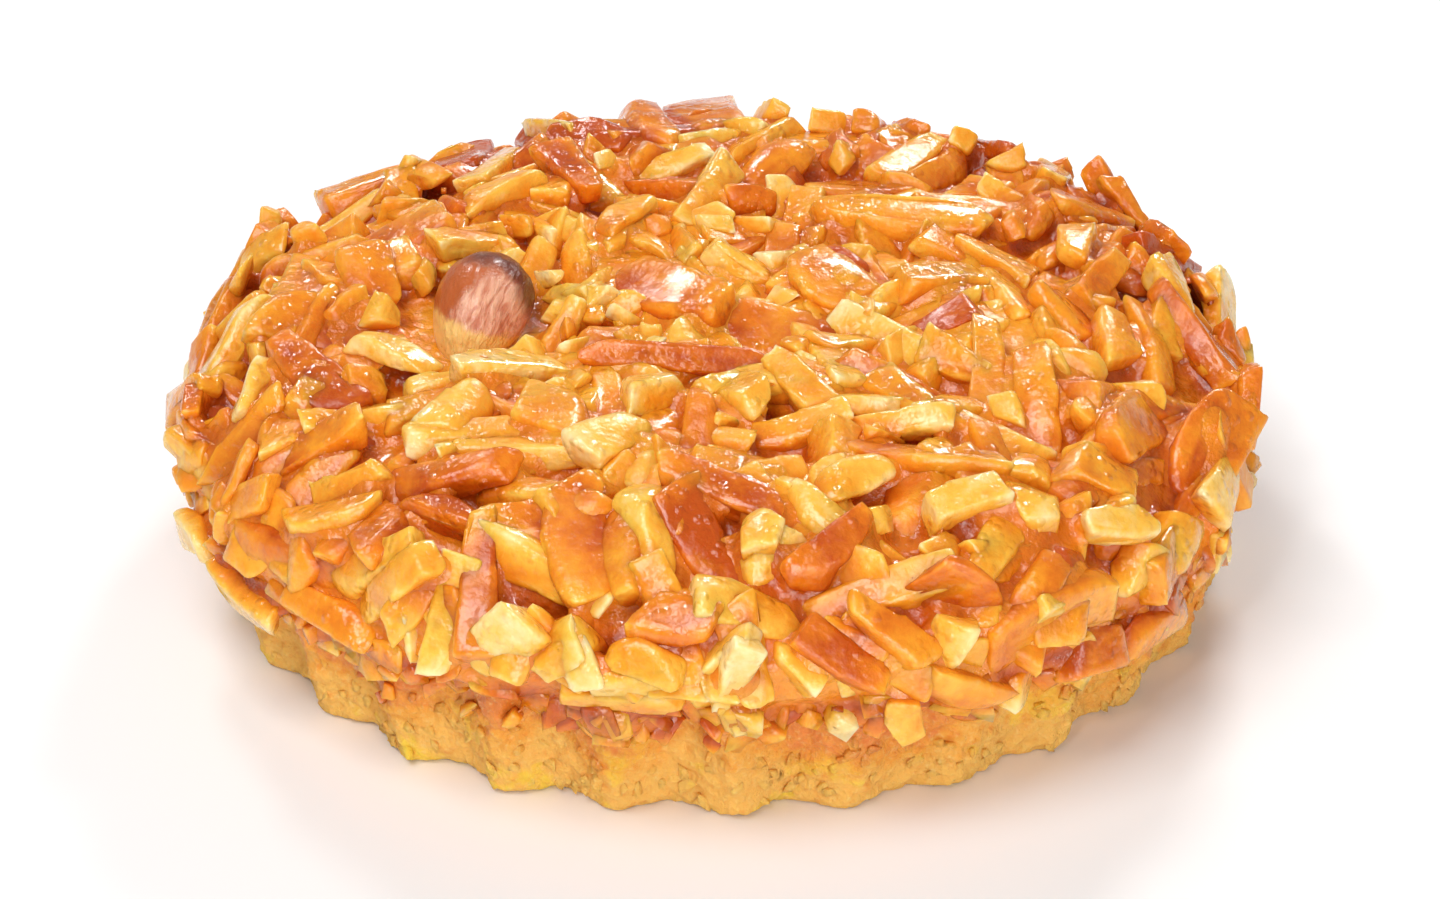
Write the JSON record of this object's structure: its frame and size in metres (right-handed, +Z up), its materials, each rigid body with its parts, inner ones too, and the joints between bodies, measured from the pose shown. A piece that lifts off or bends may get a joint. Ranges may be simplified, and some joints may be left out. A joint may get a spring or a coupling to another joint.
{
  "type": "almond tart",
  "caption": "Round almond tart: fluted shortcrust shell under a heaped crown of chopped almonds in caramel, with a skin-on half almond.",
  "frame": {"origin": "middle of the flat underside, on the surface the tart rests on", "axes": "+Z up; -Y is the side seen in the picture; +X is to the right in the picture"},
  "size_m": [0.1081, 0.1102, 0.0321],
  "materials": {
    "shortcrust": "baked shortcrust, matt and crumbly",
    "caramel_nuts": "toasted almonds in glossy caramel",
    "almond_skin": "brown almond skin under a thin glaze"
  },
  "bodies": {
    "root": {"tart_shell": "shortcrust", "almond_crown": "caramel_nuts", "half_almond": "almond_skin"}
  },
  "joints": []
}
